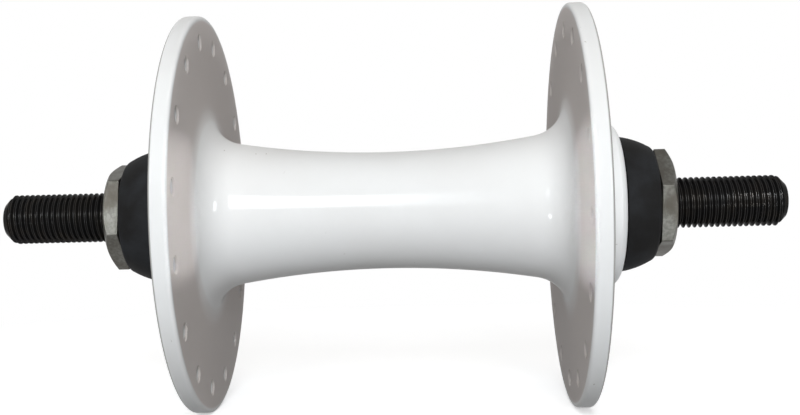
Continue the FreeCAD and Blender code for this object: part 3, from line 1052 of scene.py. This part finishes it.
@dataclass
class Locknut:
    """Thin hexagon nut, bevelled on its outer face, with rounded edges."""

    end: End
    turn: float  # degrees
    sides: int = 6
    across_flats: float = 17.0
    bevel_start: float = 8.25
    bevel_angle: float = math.radians(30)
    bore: float = 4.195
    lead_in: float = 4.8
    corner_round: float = 0.35
    edge: float = 0.14  # easing of the seat's rim; the other edges have half of it
    margin: float = 0.02
    round_steps: int = 4  # of a corner
    side_steps: int = 10  # of a flat
    sharp: float = 50.0  # degrees
    finish: Finish = ZincPlate()

    def rim(self) -> list[Pair]:
        """Angle and radius of points round the hexagon, its corners rounded.

        Returns:
            The points in order.
        """
        sector = FULL_TURN / self.sides
        reach = (self.across_flats / 2 - self.corner_round) / math.cos(sector / 2)
        points = []
        for k in range(self.sides):
            corner = sector * k
            centre = Vector((math.cos(corner), math.sin(corner))) * reach
            for step in range(self.round_steps + 1):
                angle = corner + sector * (step / self.round_steps - 0.5)
                points.append(centre + Vector((math.cos(angle), math.sin(angle))) * self.corner_round)
            end = points[-1]
            following = Matrix.Rotation(sector, 2) @ points[-1 - self.round_steps]
            points.extend(end.lerp(following, step / self.side_steps) for step in range(1, self.side_steps))
        turn = math.radians(self.turn)
        return [(math.atan2(point.y, point.x) + turn, point.length) for point in points]

    def outline(self, reach: float, seat: float, face: float) -> list[Vector]:
        """The nut's section at one point of its rim.

        Args:
            reach: the rim's radius there.
            seat: station of the nut's inner face.
            face: station of its outer face.

        Returns:
            The same number of points wherever it is.
        """
        lead, small = self.lead_in - self.bore, self.edge / 2
        drop = (reach - self.bevel_start) * math.tan(self.bevel_angle)
        corners = [
            Corner(self.lead_in, seat, easing=small),
            Corner(reach, seat, easing=self.edge),
            Corner(reach, face - drop, easing=small),
            Corner(self.bevel_start, face, easing=small),
            Corner(self.lead_in, face, easing=small),
            Corner(self.bore, face - lead),
            Corner(self.bore, seat + lead),
        ]
        return trace(corners, margin=self.margin)

    def build(self) -> None:
        """Make the nut."""
        node = f"{self.end.word}_locknut"
        seat, face, _ = reach_of(node)
        mesh = bmesh.new()
        columns = []
        for angle, reach in self.rim():
            section = self.outline(reach, seat, face)
            places = [round_place(point.x, self.end.value * point.y, angle) for point in section]
            columns.append([mesh.verts.new(place) for place in places])
        join_rows(mesh, columns)
        name = f"{self.end.word}_hexagon_nut"
        deliver(name, mesh, self.finish, "axle_assembly", node, self.sharp)


@dataclass
class Bearing:
    """The bearing's pieces at one end, and the washer: the frame's own solids, dressed."""

    end: End
    balls: int = 9
    steel: Finish = GroundSteel()
    sheet: Finish = PressedSheet()
    plate: Finish = ZincPlate()

    def dress(self) -> None:
        """Give each node its finish."""
        word = self.end.word
        finishes = {"cone": self.steel, "bearing_cup": self.steel, "washer": self.plate,
                    "ball_cage": self.sheet, "dust_cap": self.sheet}
        finishes |= {f"ball_{k + 1}": self.steel for k in range(self.balls)}
        for name, finish in finishes.items():
            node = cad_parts[f"{word}_{name}"]
            node.data.materials.clear()
            node.data.materials.append(finish.material())
        LOG.info("%-20s %7d nodes dressed", f"{word}_bearing", len(finishes))


# The studio


COOL = (0.96, 1.0, 1.03)
WARM = (1.0, 0.95, 0.86)
ROOT = (-0.018, -0.030, -0.003)  # the right flange's root, seen from the camera
NUT = (-0.008, -0.051, -0.003)  # the right locknut
LEFT_FACE = (-0.0265, 0.032, 0.0008)  # the flanges' inner faces, beside the barrel
RIGHT_FACE = (-0.0265, -0.032, 0.0)
LEFT_THREAD = (0.0, 0.060, 0.0)  # the axle's ends
RIGHT_TIP = (0.0, -0.066, 0.0)
NUT_TURNS = {End.LEFT: 10.8, End.RIGHT: -12.7}  # degrees about +Y from a corner straight up
BARE = 90.0  # degrees, for a lamp without a grid


class Serves(enum.Enum):
    """What a lamp is for."""

    ALL = "light and its own mirror image"
    MATT = "light alone"
    GLOSS = "a mirror image in gloss alone"


@dataclass
class Lamp:
    """A soft rectangular lamp, placed about the hub's centre and turned to a point of it."""

    name: str
    azimuth: float  # degrees from the photograph's side, towards the axle's right end
    elevation: float
    distance: float  # metres
    width: float
    height: float
    level: float  # radiance, where 1 is a white card in full light
    serves: Serves = Serves.ALL
    aim: Triple = (0.0, 0.0, 0.0)
    grid: float = BARE  # degrees from straight ahead, past which it gives nothing
    tint: Triple = COOL

    def kept_share(self) -> float:
        """The share of a bare lamp's power that gives the same radiance through the grid."""
        half = math.radians(self.grid)
        return 1.0 if self.grid == BARE else 1 - half / math.tan(half)

    def build(self) -> None:
        """Make the lamp."""
        light = bpy.data.lights.new(self.name, "AREA")
        light.shape = "RECTANGLE"
        light.size, light.size_y = self.width, self.height
        light.energy = self.level * math.pi * self.width * self.height * self.kept_share()
        light.spread = 2 * math.radians(self.grid)
        light.color = self.tint
        lamp = linked(self.name, light)
        azimuth, elevation = map(math.radians, (self.azimuth, self.elevation))
        flat = math.cos(elevation)
        away = Vector((-flat * math.cos(azimuth), -flat * math.sin(azimuth), math.sin(elevation)))
        lamp.location = away * self.distance
        lamp.rotation_euler = (lamp.location - Vector(self.aim)).to_track_quat("Z", "Y").to_euler()
        lamp.visible_camera = False
        lamp.visible_glossy = self.serves is not Serves.MATT
        lamp.visible_diffuse = self.serves is not Serves.GLOSS


@dataclass
class Studio:
    """Pale floor, soft lamps, white surroundings and the camera."""

    floor_size: float = 12.0
    floor_tone: Triple = (0.26, 0.26, 0.26)
    floor_white: Triple = (0.95, 0.95, 0.95)  # the card that the camera sees near the hub
    floor_lift: float = 0.50  # what is added to it there
    shadow_reach: Pair = (0.24, 0.13)  # metres over which that floor comes in from plain white
    fill: Triple = (0.150, 0.141, 0.137)
    camera_place: Triple = (-199.674, -8.061, -2.024)
    camera_yaw: float = 0.0621
    camera_roll: float = 0.0252
    focal_pixels: float = 1104.37
    shift: Pair = (0.04474, 0.01808)
    clip: Pair = (0.01, 100.0)  # metres
    sensor: float = 36.0
    lamps: tuple[Lamp, ...] = (
        Lamp("window", 3.65, 18.5, 0.42, 0.0816, 0.155, 20.0),
        Lamp("window_side", -3.2, 18.5, 0.42, 0.0190, 0.155, 11.0),
        Lamp("window_edge", -5.9, 18.5, 0.42, 0.0205, 0.155, 5.0),
        Lamp("left_pane", 48.8, 11.0, 0.42, 0.070, 0.090, 34.0, Serves.GLOSS),
        Lamp("right_pane", -27.0, 18.7, 0.42, 0.090, 0.080, 14.0, Serves.GLOSS),
        Lamp("low_pane", -16.6, -18.6, 0.103, 0.020, 0.022, 34.0, Serves.GLOSS, ROOT, 25),
        Lamp("front", 0.0, 5.0, 0.80, 0.40, 0.20, 7.3, Serves.MATT),
        Lamp("overhead", 0.0, 60.0, 0.70, 0.40, 0.50, 1.2, Serves.MATT, tint=WARM),
        Lamp("nut_pane", 41.0, -17.0, 0.105, 0.030, 0.010, 16.0, Serves.GLOSS, NUT, 25),
        Lamp("left_band", 48.5, 1.1, 0.040, 0.019, 0.0215, 470.0, Serves.MATT, LEFT_FACE, 3),
        Lamp("right_band", -48.5, 0.0, 0.040, 0.019, 0.0232, 570.0, Serves.MATT, RIGHT_FACE, 3),
        Lamp("thread_upper", -49.6, 12.5, 0.114, 0.030, 0.006, 60.0, Serves.GLOSS, LEFT_THREAD, 9),
        Lamp("thread_lower", -49.6, -12.5, 0.114, 0.030, 0.006, 50.0, Serves.GLOSS, LEFT_THREAD, 9),
        Lamp("tip_upper", 51.9, 20.3, 0.115, 0.014, 0.012, 260.0, Serves.GLOSS, RIGHT_TIP, 9),
        Lamp("tip_lower", 50.0, -12.3, 0.116, 0.014, 0.006, 120.0, Serves.GLOSS, RIGHT_TIP, 9),
        Lamp("rear", 180.0, 20.0, 0.80, 0.50, 0.40, 4.0, Serves.MATT),
        Lamp("right_side", 90.0, 2.0, 1.20, 0.20, 0.20, 30.0, Serves.MATT),
        Lamp("left_side", -90.0, 2.0, 1.20, 0.20, 0.20, 34.0, Serves.MATT),
    )

    def surroundings(self) -> None:
        """White for what is seen, plain grey for what lights the hub."""
        world = bpy.data.worlds.new("surroundings")
        world.use_nodes = True
        board = Board(world.node_tree)
        grey = board.add("ShaderNodeBackground", inputs={"Color": opaque(self.fill)})
        white = board.add("ShaderNodeBackground", inputs={"Color": (1, 1, 1, 1)})
        mixed = board.choose(board.seen(), grey, white)
        board.add("ShaderNodeOutputWorld", inputs={"Surface": mixed})
        bpy.context.scene.world = world

    def floor(self, height: float) -> None:
        """A pale floor that keeps a soft shadow.

        Args:
            height: of the floor in metres.
        """
        material = bpy.data.materials.new("pale_floor")
        material.use_nodes = True
        board = Board(material.node_tree)
        plain = board.add("ShaderNodeBsdfDiffuse", inputs={"Color": opaque(self.floor_tone)})
        white = board.add("ShaderNodeEmission", inputs={"Strength": 1.0})
        mixed = board.choose(board.seen(), plain, white)
        pale = board.add("ShaderNodeBsdfDiffuse", inputs={"Color": opaque(self.floor_white)})
        lift = board.add("ShaderNodeEmission", inputs={"Strength": self.floor_lift})
        shaded = board.add("ShaderNodeAddShader", inputs={0: pale, 1: lift})
        x, y, _ = board.place()
        near = ((x * x + y * y) ** 0.5).ramp(*self.shadow_reach)
        camera = board.add("ShaderNodeLightPath", output="Is Camera Ray")
        shown = board.choose(near * camera, mixed, shaded)
        board.add("ShaderNodeOutputMaterial", inputs={"Surface": shown})
        half = self.floor_size / 2
        corners = [(x * half, y * half, height) for x, y in ((-1, -1), (1, -1), (1, 1), (-1, 1))]
        data = bpy.data.meshes.new("floor")
        data.from_pydata(corners, [], [(0, 1, 2, 3)])
        data.materials.append(material)
        linked("floor", data)

    def camera(self) -> None:
        """The camera at the photograph's viewing angle."""
        data = bpy.data.cameras.new("camera")
        data.sensor_width = self.sensor
        data.lens = self.focal_pixels * self.sensor / PHOTO_WIDTH
        data.shift_x, data.shift_y = self.shift
        data.clip_start, data.clip_end = self.clip
        yaw, roll = self.camera_yaw, self.camera_roll
        level = Vector((math.sin(yaw), -math.cos(yaw), 0.0))
        back = Vector((-math.cos(yaw), -math.sin(yaw), 0.0))
        right = math.cos(roll) * level - math.sin(roll) * Vector((0, 0, 1))
        axes = Matrix((right, back.cross(right), back)).transposed()
        camera = linked("camera", data)
        camera.matrix_world = Matrix.Translation(Vector(self.camera_place) * MM) @ axes.to_4x4()
        bpy.context.scene.camera = camera

    def build(self) -> None:
        """Set up the whole studio."""
        bpy.context.scene.view_settings.view_transform = "Standard"
        self.camera()
        self.surroundings()
        self.floor(CAD_BOX[0][2])
        for lamp in self.lamps:
            lamp.build()
        LOG.info("studio: %d lamps, floor and camera", len(self.lamps))


def main() -> None:
    """Build the studio and the pieces in order, and log each piece's faces."""
    logging.basicConfig(level=logging.INFO, format="%(message)s")
    Studio().build()
    HubShell().build()
    ThreadedAxle().build()
    for end, turn in NUT_TURNS.items():
        RubberBoot(end).build()
        Locknut(end, turn).build()
        Bearing(end).dress()


if __name__ == "__main__":
    main()
